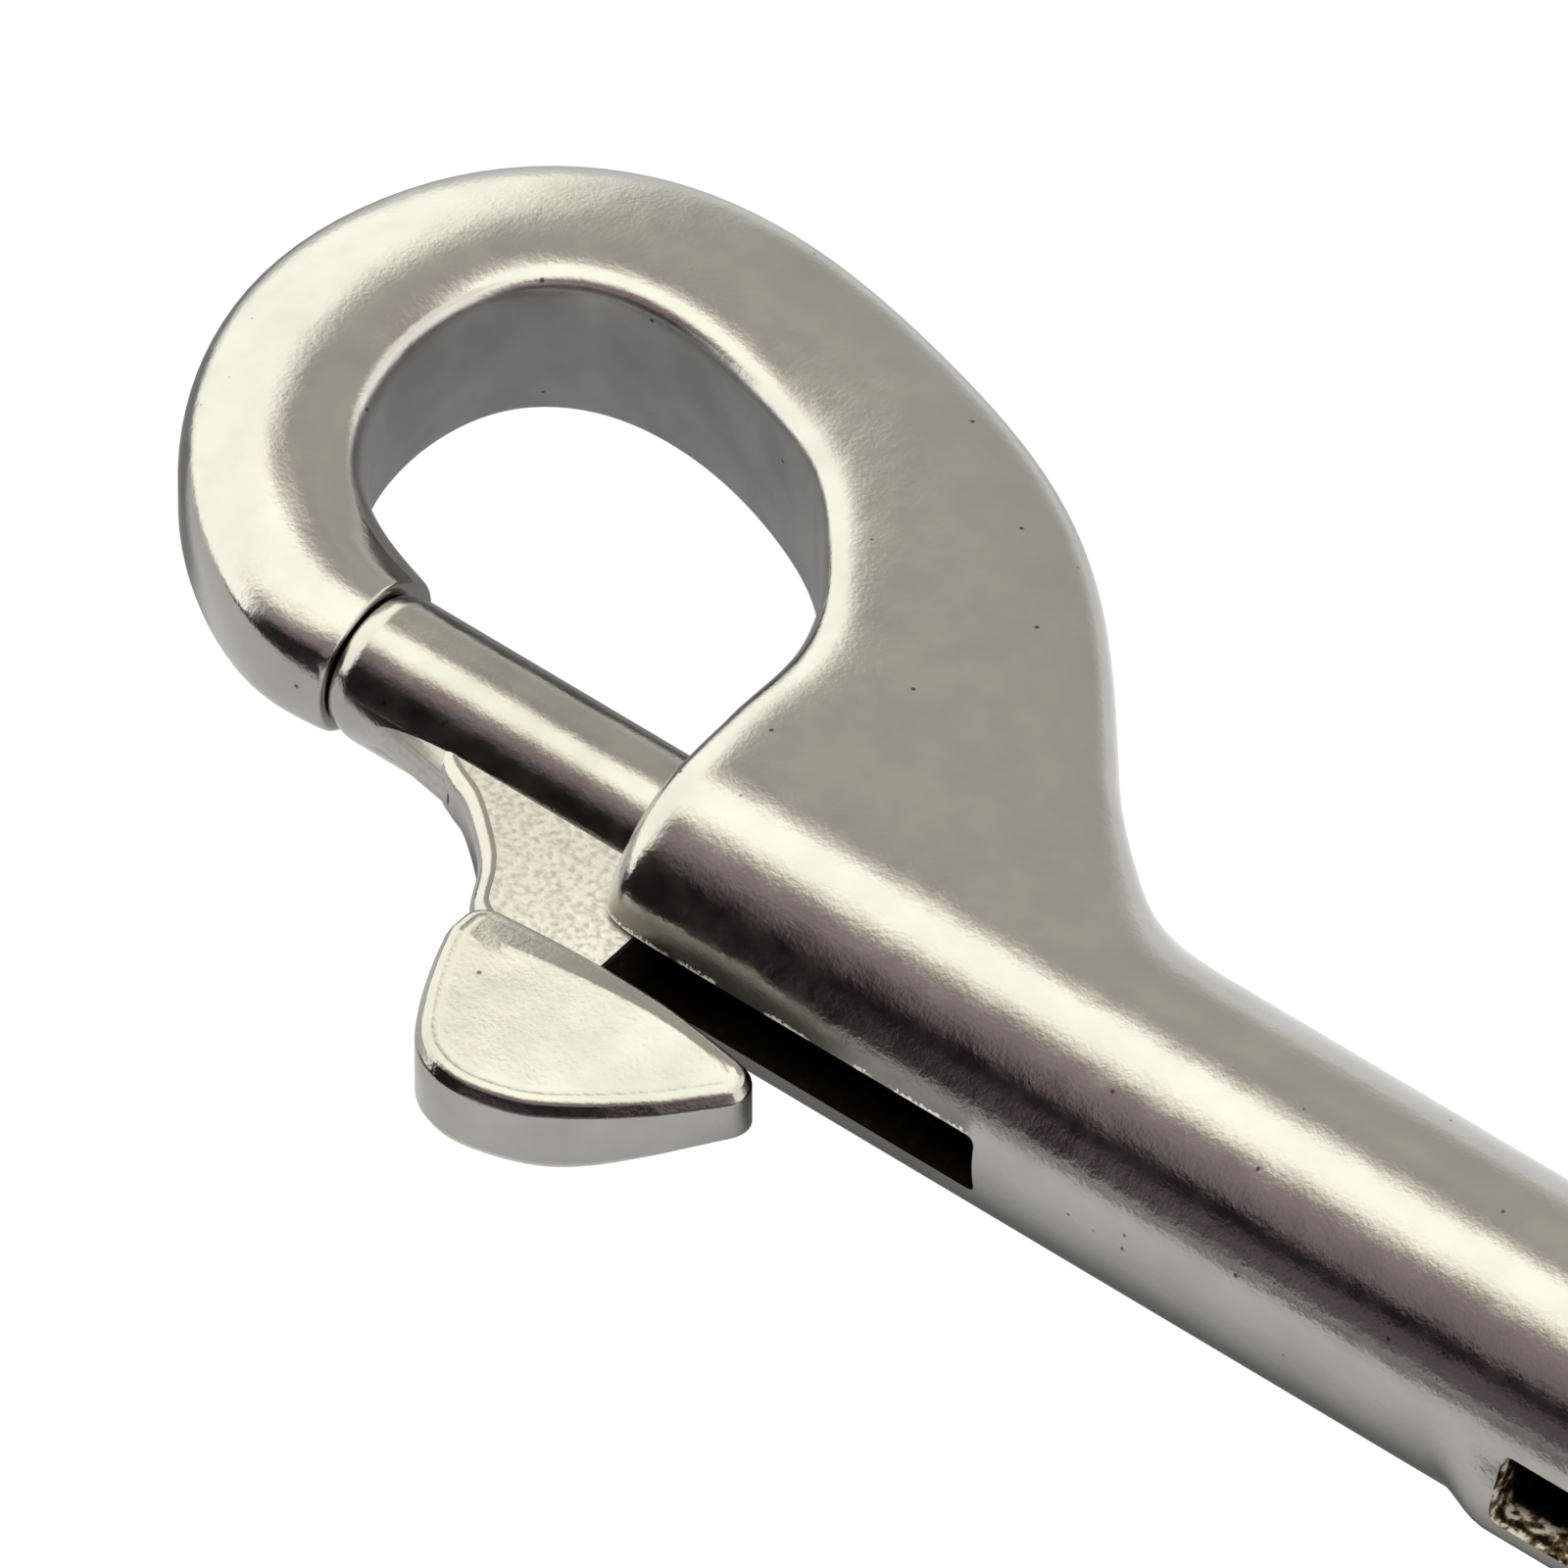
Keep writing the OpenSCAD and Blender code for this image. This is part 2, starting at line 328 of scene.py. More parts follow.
# the one on the right stands behind the barrel only
right_end = maths(room, "MULTIPLY", right_end, eased(room, way.outputs["Y"], -0.15, 0.05))
panels = blend(room, left_end, panels, "f6f5e9")
panels = blend(room, right_end, panels, "dedcd2")
backdrop = add(room, "ShaderNodeBackground", Color=panels, Strength=2.2)
add(room, "ShaderNodeOutputWorld", in_0=backdrop.outputs[0])
print("world built, with", len(room.nodes), "nodes")

# %% [markdown]
# The floor is a sheet of white paper, bright enough to hide the hook's own shadow. What
# the metal mirrors is set apart from what the eye sees, as a photographer does with cards
# just out of the picture: one card lies on the floor and gives the paper as the hook
# mirrors it, with the hook's shadow painted on it, dim close under the metal and inside
# the eyes, and dark where the sheet ends in front. A black card stands beyond that end, on
# the left. Only mirrored rays meet the cards.

# %% Floor
bpy.ops.mesh.primitive_plane_add(size=6, location=(0, 0, 0))
floor = bpy.context.object
floor.name = "floor"
paper = bpy.data.materials.new("matt_white_paper")
paper.use_nodes = True
paper_shader = paper.node_tree.nodes["Principled BSDF"]
paper_shader.inputs["Base Color"].default_value = (*linear("3c3c3c"), 1)
paper_shader.inputs["Roughness"].default_value = 0.9
paper_shader.inputs["Specular IOR Level"].default_value = 0.0
paper_shader.inputs["Emission Color"].default_value = (1, 1, 1, 1)
paper_shader.inputs["Emission Strength"].default_value = 1.0
floor.data.materials.append(paper)
print("floor laid, of", paper.name)

# %% Helpers for the cards


def card(name, corners):
    """A flat card through its corners, in millimetres, that only mirrored rays meet."""
    bpy.ops.object.select_all(action="DESELECT")
    bpy.ops.mesh.primitive_plane_add(size=1)
    piece = bpy.context.object
    piece.name = name
    for vert, corner in zip(piece.data.vertices, corners):
        vert.co = Vector(corner) * MM
    piece.visible_camera = False
    piece.visible_shadow = False
    piece.visible_diffuse = False
    return piece


def glowing(name):
    """A material that only shines, for a card, and its Emission node."""
    material = bpy.data.materials.new(name)
    material.use_nodes = True
    tree = material.node_tree
    tree.nodes.clear()
    shine = add(tree, "ShaderNodeEmission")
    return material, tree, shine


# %% The sheet, as the metal mirrors it, with the hook's shadow painted on
sheet_tone, tree, shine = glowing("mirrored_paper_painted_shadow")
card_place = add(tree, "ShaderNodeSeparateXYZ", in_0=add(tree, "ShaderNodeTexCoord").outputs["Object"])
ahead = maths(tree, "MULTIPLY", card_place.outputs["Y"], -1 / MM)
aside = maths(tree, "MULTIPLY", card_place.outputs["X"], 1 / MM)
# the sheet's tones, by how far they lie in front of the frame's middle: a painted shadow
# of the hook dims them under the barrel and inside the eyes, and they are dark past the
# sheet's front end
span = 200
sheet_tones_painted_shadow = [
    (-60, "ffffff"), (-30, "d8d8d8"), (-18, "949494"), (-2, "949494"), (6, "6a6a6a"),
    (9.7, "6a6a6a"), (11.3, "989898"), (13.5, "c2c2c1"), (18, "e0e0df"), (28, "ececeb"),
    (44, "e4e3e2"), (62, "908c8a"), (85, "5e5558"),
]
tone = ramp(tree, maths(tree, "MULTIPLY_ADD", ahead, 1 / span, 0.5),
            [(0.5 + far / span, colour) for far, colour in sheet_tones_painted_shadow])
# behind the barrel, between the eyes, the sheet lies in full light
behind = eased(tree, ahead, -2, -8)
between_eyes = eased(tree, maths(tree, "ABSOLUTE", aside), 36, 26)
tone = blend(tree, maths(tree, "MULTIPLY", behind, between_eyes), tone, "ffffff")
# and in front of the left nose it lies in the light too
by_nose = maths(tree, "MULTIPLY", eased(tree, aside, -40, -46), eased(tree, ahead, 2, 6))
tone = blend(tree, by_nose, tone, "e2e2e0")
tree.links.new(tone, shine.inputs["Color"])
# the dark part of the sheet comes nearer the hook on the left of the knob
edge_line = maths(tree, "MULTIPLY_ADD", ahead, 0.2, aside)
left_of = eased(tree, edge_line, -34, -44)
front_of = eased(tree, maths(tree, "MULTIPLY_ADD", aside, 0.4, ahead), 0, 10)
dark_part = maths(tree, "MULTIPLY", left_of, front_of)
dark = add(tree, "ShaderNodeEmission", Color="241f22", Strength=1.0)
both = add(tree, "ShaderNodeMixShader", in_0=dark_part, in_1=shine.outputs[0], in_2=dark.outputs[0])
add(tree, "ShaderNodeOutputMaterial", in_0=both.outputs[0])
sheet_half = 500
sheet_up = 0.1
sheet = card("mirrored_sheet", [(x, y, sheet_up) for y in (-sheet_half, sheet_half)
                                for x in (-sheet_half, sheet_half)])
sheet.data.materials.append(sheet_tone)
print("sheet laid:", sheet.name)

# %% The black card, which photographers call a flag
# its right edge leans and is soft, and its top fades
flag_left = -215
flag_right = -60
flag_ahead = 150
flag_fades = 95
flag_high = 190
flag_tone, tree, shine = glowing("black_card")
shine.inputs["Color"].default_value = (*linear("1c181b"), 1)
card_place = add(tree, "ShaderNodeSeparateXYZ", in_0=add(tree, "ShaderNodeTexCoord").outputs["Object"])
aside = maths(tree, "MULTIPLY", card_place.outputs["X"], 1 / MM)
above = maths(tree, "MULTIPLY", card_place.outputs["Z"], 1 / MM)
covers = eased(tree, maths(tree, "MULTIPLY_ADD", above, 0.2, aside), flag_right - 1, flag_right - 19)
fade = add(tree, "ShaderNodeMapRange", Value=above, From_Min=flag_fades, From_Max=flag_high,
           To_Min=1.0, To_Max=0.0)
cover = maths(tree, "MULTIPLY", covers, fade.outputs[0])
clear = add(tree, "ShaderNodeBsdfTransparent")
both = add(tree, "ShaderNodeMixShader", in_0=cover, in_1=clear.outputs[0], in_2=shine.outputs[0])
add(tree, "ShaderNodeOutputMaterial", in_0=both.outputs[0])
flag = card("black_flag", [(x, -flag_ahead, z) for z in (0, flag_high)
                           for x in (flag_left, flag_right)])
flag.data.materials.append(flag_tone)
print("black card stood up:", flag.name)

# %% [markdown]
# ## Materials
#
# The hook is investment cast stainless steel, tumbled and polished. The metal is bright,
# but the polish follows an uneven skin: a slow waviness like orange peel, and a few pits
# where the wax or the shell was rough. The inside of the slots is painted near black as shade.

# %% Polished casting


def new_material(name):
    """An empty material, its node tree and the Principled shader in it."""
    material = bpy.data.materials.new(name)
    material.use_nodes = True
    tree = material.node_tree
    tree.nodes.clear()
    shader = add(tree, "ShaderNodeBsdfPrincipled")
    add(tree, "ShaderNodeOutputMaterial", in_0=shader.outputs[0])
    return material, tree, shader


def noise(tree, place, size_mm, detail):
    """Noise whose lumps are about size_mm across."""
    node = add(tree, "ShaderNodeTexNoise", Vector=place, Scale=1 / (size_mm * MM), Detail=detail)
    return node.outputs["Fac"]


def place_of(tree):
    """The place on the piece, in metres from the frame's origin."""
    return add(tree, "ShaderNodeTexCoord").outputs["Object"]


def slot_marks(tree, place):
    """Two masks at the left slot: a matt strip beside it, painted darker as a reflection of
    the dark room, and a ragged burr on its upper edge, painted bright as a highlight."""
    spot = add(tree, "ShaderNodeSeparateXYZ", in_0=place)
    aside = maths(tree, "ABSOLUTE", spot.outputs["X"])
    above = maths(tree, "SUBTRACT", spot.outputs["Z"], axis_z * MM)
    beside = maths(tree, "ABSOLUTE", above)
    under = eased(tree, spot.outputs["Y"], (axis_y - 4.3) * MM, (axis_y - 4.8) * MM)
    slot_end = half_len - slot_len
    past_end = eased(tree, aside, (slot_end + 0.1) * MM, (slot_end + 0.6) * MM)
    in_mouth = eased(tree, aside, (half_len - 0.3) * MM, (half_len - 1.2) * MM)
    left = maths(tree, "LESS_THAN", spot.outputs["X"], 0.0)
    here = maths(tree, "MULTIPLY", under, maths(tree, "MULTIPLY", past_end, in_mouth))
    here = maths(tree, "MULTIPLY", here, left)
    # the strip fades out between 1.6 and 2.8 mm from the slot's middle
    matt_strip_painted_dark = maths(tree, "MULTIPLY", here, eased(tree, beside, 2.8 * MM, 1.6 * MM))
    # the burr's painted highlight is up to 0.2 mm wide and broken every few millimetres
    fray = noise(tree, place, 0.16, 2.0)
    ragged = maths(tree, "MULTIPLY_ADD", fray, 0.55 * MM, (slot_w / 2 - 0.17) * MM)
    narrow = maths(tree, "LESS_THAN", beside, ragged)
    unbroken = eased(tree, noise(tree, place, 2.2, 3.0), 0.42, 0.5)
    upper = maths(tree, "GREATER_THAN", above, 0.0)
    burr_highlight = maths(tree, "MULTIPLY", maths(tree, "MULTIPLY", here, narrow),
                 maths(tree, "MULTIPLY", upper, unbroken))
    return matt_strip_painted_dark, burr_highlight


def polished_steel(name, tones=("aeada9", "b6b5b0"), gloss=0.15, grain=1.0, slots=False):
    """Polished steel of two near tones. Its roughness is about gloss, its fine grain is
    grain times the usual, and with slots it has the painted marks beside the left slot: a
    darker strip for a reflection and a bright burr for a highlight."""
    material, tree, shader = new_material(name)
    place = place_of(tree)
    shader.inputs["Metallic"].default_value = 1.0
    colour = ramp(tree, noise(tree, place, 3.0, 4.0), [(0.35, tones[0]), (0.65, tones[1])])
    # small pits, about 0.2 mm wide, where the shell of the mould was rough
    cells = add(tree, "ShaderNodeTexVoronoi", Vector=place, Scale=1 / (1.3 * MM))
    chance = add(tree, "ShaderNodeSeparateXYZ", in_0=cells.outputs["Color"])
    few = maths(tree, "GREATER_THAN", chance.outputs[0], 0.72)
    pit = maths(tree, "MULTIPLY", eased(tree, cells.outputs["Distance"], 0.1, 0.04), few)
    colour = blend(tree, pit, colour, "625a50")
    dull = add(tree, "ShaderNodeMapRange", Value=noise(tree, place, 1.2, 5.0), From_Min=0.35,
               From_Max=0.65, To_Min=gloss - 0.02, To_Max=gloss + 0.05).outputs[0]
    if slots:
        matt_strip_painted_dark, burr_highlight = slot_marks(tree, place)
        # painted reflection: the strip is darkened where the dark room is mirrored; it is also matt
        colour = blend(tree, maths(tree, "MULTIPLY", matt_strip_painted_dark, 0.5), colour, "5c584c")
        # painted highlight: the burr is near white and mostly not metallic, so it shows bright
        colour = blend(tree, burr_highlight, colour, "f4f2ea")
        dull = maths(tree, "MULTIPLY_ADD", maths(tree, "MAXIMUM", matt_strip_painted_dark, burr_highlight), 0.22, dull)
        metal = maths(tree, "MULTIPLY_ADD", burr_highlight, -0.7, 1.0)
        tree.links.new(metal, shader.inputs["Metallic"])
    tree.links.new(colour, shader.inputs["Base Color"])
    tree.links.new(dull, shader.inputs["Roughness"])
    # orange peel in waves of about 1.3 mm, with a tumbled grain of 0.2 mm on it
    waves = add(tree, "ShaderNodeBump", Strength=1.0, Distance=0.02 * MM,
                Height=noise(tree, place, 1.3, 1.0))
    fine = add(tree, "ShaderNodeBump", Strength=grain, Distance=0.009 * MM,
               Height=noise(tree, place, 0.2, 2.0), Normal=waves.outputs[0])
    tree.links.new(fine.outputs[0], shader.inputs["Normal"])
    return material


cast_polish = polished_steel("polished_cast_stainless", slots=True)
bolt_polish = polished_steel("polished_bolt_stainless", ("a8a7a2", "b2b1ab"))
eye_inside = polished_steel("unpolished_eye_wall", ("b6b5b5", "c6c5c5"), gloss=0.3, grain=1.2)
print("polished:", cast_polish.name, bolt_polish.name, eye_inside.name)


# %% Painted shade inside the slots and bores


def painted_shade_metal(name, painted_glints=False):
    """Near black unpolished metal, painted shade for the insides that light hardly reaches.
    In the right slot, bright specks on the outer millimetre of the walls are painted glints of light."""
    material, tree, shader = new_material(name)
    place = place_of(tree)
    # painted shade: the insides are near black because little light gets in
    colour = ramp(tree, noise(tree, place, 0.5, 4.0),
                  [(0.4, "060504"), (0.62, "120e0b"), (0.8, "2c241b")])
    if painted_glints:
        # painted glints: bright specks near the outer edge of the right slot's walls, where light
        # falls in
        glint_bits = ramp(tree, noise(tree, place, 0.5, 3.0),
                    [(0.4, "1a140e"), (0.5, "7a6850"), (0.58, "f2ecde")])
        spot = add(tree, "ShaderNodeSeparateXYZ", in_0=place)
        right = maths(tree, "GREATER_THAN", spot.outputs["X"], 0.0)
        out_y = maths(tree, "SUBTRACT", spot.outputs["Y"], axis_y * MM)
        outer = eased(tree, out_y, -(barrel_r - 0.9) * MM, -(barrel_r - 0.3) * MM)
        colour = blend(tree, maths(tree, "MULTIPLY", right, outer), colour, glint_bits)
    tree.links.new(colour, shader.inputs["Base Color"])
    shader.inputs["Specular IOR Level"].default_value = 0.1
    shader.inputs["Roughness"].default_value = 0.8
    bump = add(tree, "ShaderNodeBump", Strength=0.7, Distance=0.05 * MM,
               Height=noise(tree, place, 0.3, 3.0))
    tree.links.new(bump.outputs[0], shader.inputs["Normal"])
    return material


inside_dark = painted_shade_metal("unpolished_inside_painted_shade", painted_glints=True)
bolt_dark = painted_shade_metal("sheltered_bolt_painted_shade")
# both dark materials are painted shade
print("painted shade inside:", inside_dark.name, bolt_dark.name)


# %% Rough web and matt belly


def as_cast(name, tones, rough_by):
    """Unpolished steel: a fine grit of two tones, with bumps rough_by times their full
    height."""
    material, tree, shader = new_material(name)
    place = place_of(tree)
    grit = noise(tree, place, 0.28, 2.0)
    colour = ramp(tree, grit, [(0.3, tones[0]), (0.58, tones[1])])
    tree.links.new(colour, shader.inputs["Base Color"])
    shader.inputs["Metallic"].default_value = 0.6
    shader.inputs["Roughness"].default_value = 0.42
    bump = add(tree, "ShaderNodeBump", Strength=rough_by, Distance=0.03 * MM, Height=grit)
    tree.links.new(bump.outputs[0], shader.inputs["Normal"])
    return material


web_rough = as_cast("as_cast_stainless_web", ("c0beb6", "e8e7e0"), 1.0)
fillet_matt = as_cast("tumbled_stainless_fillet", ("b3b2ac", "bfbeb8"), 0.15)
print("left rough:", web_rough.name, fillet_matt.name)

# %% Spring wire
spring_wire = polished_steel("drawn_spring_wire", ("77756f", "8c8a84"), gloss=0.3)
print("wire:", spring_wire.name)

# %% [markdown]
# ## The body
#
# The body is cast, so its barrel runs into its eyes with soft blends, and polish shows
# every unevenness in them. A coarse cage under a Subdivision Surface gives such blends:
# a twelve sided cylinder for half the barrel, whose upper faces are extruded step by step
# round the eye to the nose. A rounded section needs its cage a little outside the metal,
# and each station's cage is worked out from the radii that the edges are to have.

# %% Cage of the barrel
sides = 12
limit_shrink = (4 + 2 * math.cos(2 * math.pi / sides)) / 6
cage_r = barrel_r / limit_shrink
lip_r = 1.8
root_len = 20.5
# a cubic surface rounds a corner to radius r where its next rows lie this many r away
corner_reach = 6 * (1 - math.sqrt(0.5))
lip_row = corner_reach * lip_r
barrel_rows = [lip_row, 8.2, 14.0, root_len - 0.3, 22.4, 26.6]

body = rod("body_casting", sides, cage_r, half_len, at(half_len / 2, 0, 0))
edit(body)
bpy.ops.transform.rotate(value=math.pi / sides, orient_axis="X", center_override=at(0, 0, 0))
for x in barrel_rows:
    bpy.ops.mesh.select_all(action="SELECT")
    bpy.ops.mesh.bisect(plane_co=at(x, 0, 0), plane_no=(1, 0, 0))
pick_faces(body, lambda c, n: n.x > 0.9)
bpy.ops.mesh.delete(type="FACE")
# the ring round the mouth reaches a little into the bore, which is cut later
ring_wide = cage_r - bore_r + 0.04
pick_faces(body, lambda c, n: n.x < -0.9)
bpy.ops.mesh.inset(thickness=ring_wide * math.cos(math.pi / sides))
bpy.ops.object.mode_set(mode="OBJECT")
print("barrel cage:", len(body.data.polygons), "faces")

# %% [markdown]
# The section of the hook is a rectangle with rounded edges, w wide from the inner wall to
# the outer one and 2h thick. Six columns of the cage lie across its thickness and five
# rows across its width.

# %% The cage of one section


def pulled_in(r, gap, reach):
    """How far a cage point on a side, gap from the corner, lies inside the side's line
    where the edge's radius r is larger than the gap."""
    if gap >= r:
        return 0.0
    round_in = r - math.sqrt(r * r - (r - gap) ** 2)
    return max(0.0, round_in - reach * reach / (6 * r))


inner_fall = 0.3
wall_draft = 0.4
# the largest share of the width or the half thickness that an edge's rows may take
near_most = 0.3
far_most = 0.42
deep_most = 0.55
# where across the width the faces start to fall, and how sharply they bend down
fall_from = 0.3
fall_bend = 1.5


def section_grid(w, h, ri, ro, dome):
    """Cage points of a section, rows from the inner wall outwards, columns from -h to h.
    Each point is (distance from the inner wall, height). The faces fall by dome towards
    the outer wall, and a little towards the inner one."""
    near = min(corner_reach * ri, near_most * w)
    far = min(corner_reach * ro, far_most * w)
    across = [0.0, near, (near + w - far) / 2, w - far, w]
    grid = []
    for row, u in enumerate(across):
        r = ri if row < 2 else ro
        deep = min(corner_reach * r, deep_most * h)
        z1 = h - deep
        z2 = z1 / 3
        heights = [h, z1, z2]
        line = []
        for column, z in enumerate(heights):
            x = u
            if row in (0, 4):
                push = 1 if row == 0 else -1
                next_row = near if row == 0 else far
                if column == 0:
                    x_short = corner_reach * r - next_row - pulled_in(r, deep, h / 3)
                    z_short = corner_reach * r - deep - pulled_in(r, next_row, h / 2)
                    x += push * max(0.0, x_short) / 4
                    z -= max(0.0, z_short) / 4
                else:
                    x += push * pulled_in(r, h - z, h / 3)
            elif column == 0:
                gap = u if row == 1 else w - u
                z -= pulled_in(ri if row == 1 else ro, gap, w / 4)
            if row == 0:
                x -= wall_draft * (1 - z / h)
                z -= inner_fall if column == 0 else 0.0
            z *= 1 - dome / h * max(0.0, (u / w - fall_from) / (1 - fall_from)) ** fall_bend
            line.append((x, z))
        grid.append([(x, -z) for x, z in line] + line[::-1])
    return grid


def station_grid(station):
    """The section's cage points in place: the station gives its inner and outer wall."""
    ix, iy, ox, oy, h, ri, ro, dome = station
    inner = Vector((ix, iy, 0))
    across = Vector((ox, oy, 0)) - inner
    way = across.normalized()
    grid = section_grid(across.length, h, ri, ro, dome)
    return [[inner + way * u + Vector((0, 0, z)) for u, z in line] for line in grid]


# %% [markdown]
# The stations follow the eye from its root to its nose. Each gives where the inner and
# the outer wall stand, half the thickness, the radii of the inner and outer edges, and
# how far the faces fall from the inner edge to the outer one, as they do round the crown.

# %% Stations round the eye
eye_top = 17.8
nose_r = bolt_r + 0.15
stations = [
    (-0.6, 6.76, 15.79, 7.03, 5.14, 1.6, 2.6, 0),
    (-1.65, 9.97, 12.3, 10.34, 4.78, 1.1, 2.4, 0),
    (-3.75, 12.82, 7.3, 15.94, 4.47, 0.8, 2.4, 0),
    (-6.45, 15.31, 1.27, 20.58, 4.19, 0.65, 2.4, 0),
    (-10.05, 16.91, -6.16, 23.54, 3.85, 0.6, 2.1, 0.2),
    (-13.95, eye_top, -14.06, 25.1, 3.8, 0.6, 1.8, 0.6),
    (-17.98, 17.53, -21.31, 24.25, 3.8, 0.6, 1.7, 1),
    (-21.04, 15.31, -27.14, 19.7, 3.8, 0.7, 1.7, 1.2),
    (-22.1, 11.57, -29.6, 12.22, 3.8, 0.8, 1.8, 1.2),
    (-21.46, 7.83, -28, 5.17, 3.75, 1.1, 2.1, 1),
    (-19.76, 5.22, -24.15, 0.2, 3.64, 1.7, 2.6, 0.6),
    (-17.41, 3.97, -19.24, -2.67, 3.28, 2.6, 2.8, 0.2),
    (-gate_len, nose_r + 0.2, -gate_len, -nose_r + 0.1, nose_r, 2.9, 2.9, 0),
]


def limit_error(lines, targets, k, row, column):
    """How far the finished surface misses its target along one line of the sweep."""
    here = lines[k][row][column]
    before = lines[k - 1][row][column]
    after = lines[k + 1][row][column] if k + 1 < len(lines) else here * 2 - before
    return targets[k][row][column] - (before + here * 4 + after) / 6


def fitted(first, targets, passes=14):
    """Moves the cage rows until the finished surface runs through the targets."""
    lines = [first] + [[[p.copy() for p in line] for line in grid] for grid in targets]
    goals = [first] + targets
    for _ in range(passes):
        shifts = [[[limit_error(lines, goals, k, r, c) for c in range(6)] for r in range(5)]
                  for k in range(1, len(lines))]
        for grid, shift in zip(lines[1:], shifts):
            for line, moves in zip(grid, shift):
                for point, move in zip(line, moves):
                    point += move
    return lines[1:]


# %% Extrude the eye, station by station
# the region to extrude: the barrel's upper faces, as far as the eye's root reaches
pick_faces(body, lambda c, n: n.x > -0.5 and 0 < c.x < root_len and c.y > 0.9)


def rounded(place, digits=4):
    """A place as numbers that can be looked up."""
    return tuple(round(c, digits) for c in place)


def region_grid(piece):
    """The selected faces' points as five rows of six, with the mesh that holds them."""
    mesh = bmesh.from_edit_mesh(piece.data)
    points = sorted({v for f in mesh.faces if f.select for v in f.verts}, key=lambda v: v.co.x)
    rows = [sorted(points[k:k + 6], key=lambda v: v.co.z) for k in range(0, 30, 6)]
    return mesh, rows


mesh, rows = region_grid(body)
root_ring = [[from_mouth(v.co) for v in row] for row in rows]
targets = [station_grid(s) for s in stations]
cage = fitted(root_ring, targets)
# one more row close before the last keeps the nose straight up to its end
end = cage[-1]
close_to_end = 0.86
before_end = [[a.lerp(b, close_to_end) for a, b in zip(row, last)] for row, last in zip(cage[-2], end)]
cage = cage[:-1] + [before_end, end]
keep = {rounded(v.co): (r, c) for r, row in enumerate(rows) for c, v in enumerate(row)}
for grid in cage:
    bpy.ops.mesh.extrude_region_move()
    mesh = bmesh.from_edit_mesh(body.data)
    moved = {}
    for vert in [v for v in mesh.verts if v.select]:
        r, c = keep[rounded(vert.co)]
        vert.co = at(*grid[r][c])
        moved[rounded(vert.co)] = (r, c)
    keep = moved
    bmesh.update_edit_mesh(body.data)
# a narrow ring keeps the nose's end flat, with a small round at its rim
nose_ring = 0.4
bpy.ops.mesh.inset(thickness=nose_ring)
bpy.ops.object.mode_set(mode="OBJECT")
print("hook cage:", len(body.data.polygons), "faces")

# %% Give the eye's inner wall its own finish
body.data.materials.append(cast_polish)
body.data.materials.append(eye_inside)
walls = {rounded(at(*point), 3) for grid in cage for point in grid[0]}
for face in body.data.polygons:
    corners = [rounded(body.data.vertices[k].co, 3) for k in face.vertices]
    if all(corner in walls for corner in corners):
        face.material_index = 1
print("inner wall faces:", sum(f.material_index for f in body.data.polygons))

# %% [markdown]
# The right end has one thing more: a raised rim under its slot. It is narrow, so it is
# raised on the smoothed mesh and not in the cage: points near the slot move outwards by a
# share that fades along the barrel and round it.

# %% Mirror the cage, smooth it and raise the rim
apply_modifier(body, "MIRROR", use_clip=True, merge_threshold=0.001)
edit(body)
bpy.ops.mesh.normals_make_consistent(inside=False)
bpy.ops.object.mode_set(mode="OBJECT")
apply_modifier(body, "SUBSURF", levels=3, render_levels=3)


def step(value, start, stop):
    """0 before start and 1 past stop, with a soft step between them."""
    t = min(max((value - start) / (stop - start), 0.0), 1.0)
    return t * t * (3 - 2 * t)


rim_rises = 2.8
rim_ends = (slot_len + 0.5, slot_len + 3.6)
rim_fades = (2.2, 3.5)
raised = 0
for vert in body.data.vertices:
    place = from_mouth(Vector((-vert.co.x, vert.co.y, vert.co.z)))
    if vert.co.x < 0 or place.y > -barrel_r / 2:
        continue
    along = step(place.x, lip_r, lip_r + rim_rises) * (1 - step(place.x, *rim_ends))
    # it stands proud under the slot, and not over it
    round_it = (1 - step(-place.z, *rim_fades)) * (1 - step(place.z, -slot_w / 2, slot_w / 2))
    out = Vector((0, place.y, place.z)).normalized()
    vert.co += out * rim_proud * along * round_it
    raised += along * round_it > 0
print("rim raised at", raised, "points; body:", len(body.data.polygons), "faces")

# %% [markdown]
# The smoothed cage bulges a few hundredths of a millimetre past the CAD model. It is drawn
# in towards the barrel's axis, across the barrel only, until it fits the casting's box.

# %% Keep the smooth surface inside the casting's box
for k, centre in ((1, axis_y), (2, axis_z)):
    least = min(vert.co[k] for vert in body.data.vertices)
    most = max(vert.co[k] for vert in body.data.vertices)
    low_share = (body_low[k] - centre) / (least - centre)
    high_share = (body_high[k] - centre) / (most - centre)
    draw_in = min(1.0, low_share, high_share)
    for vert in body.data.vertices:
        vert.co[k] = centre + (vert.co[k] - centre) * draw_in
    print("drawn in across the barrel, axis", k, f"by {1 - draw_in:.4f}")

# %% [markdown]
# The bore and the slot are cut last, from the smooth body. Cut in the cage they would
# need rows of their own all along the barrel. The cutter carries the dark inside material,
# painted shade, and the Boolean brings it along for the walls that it cuts.

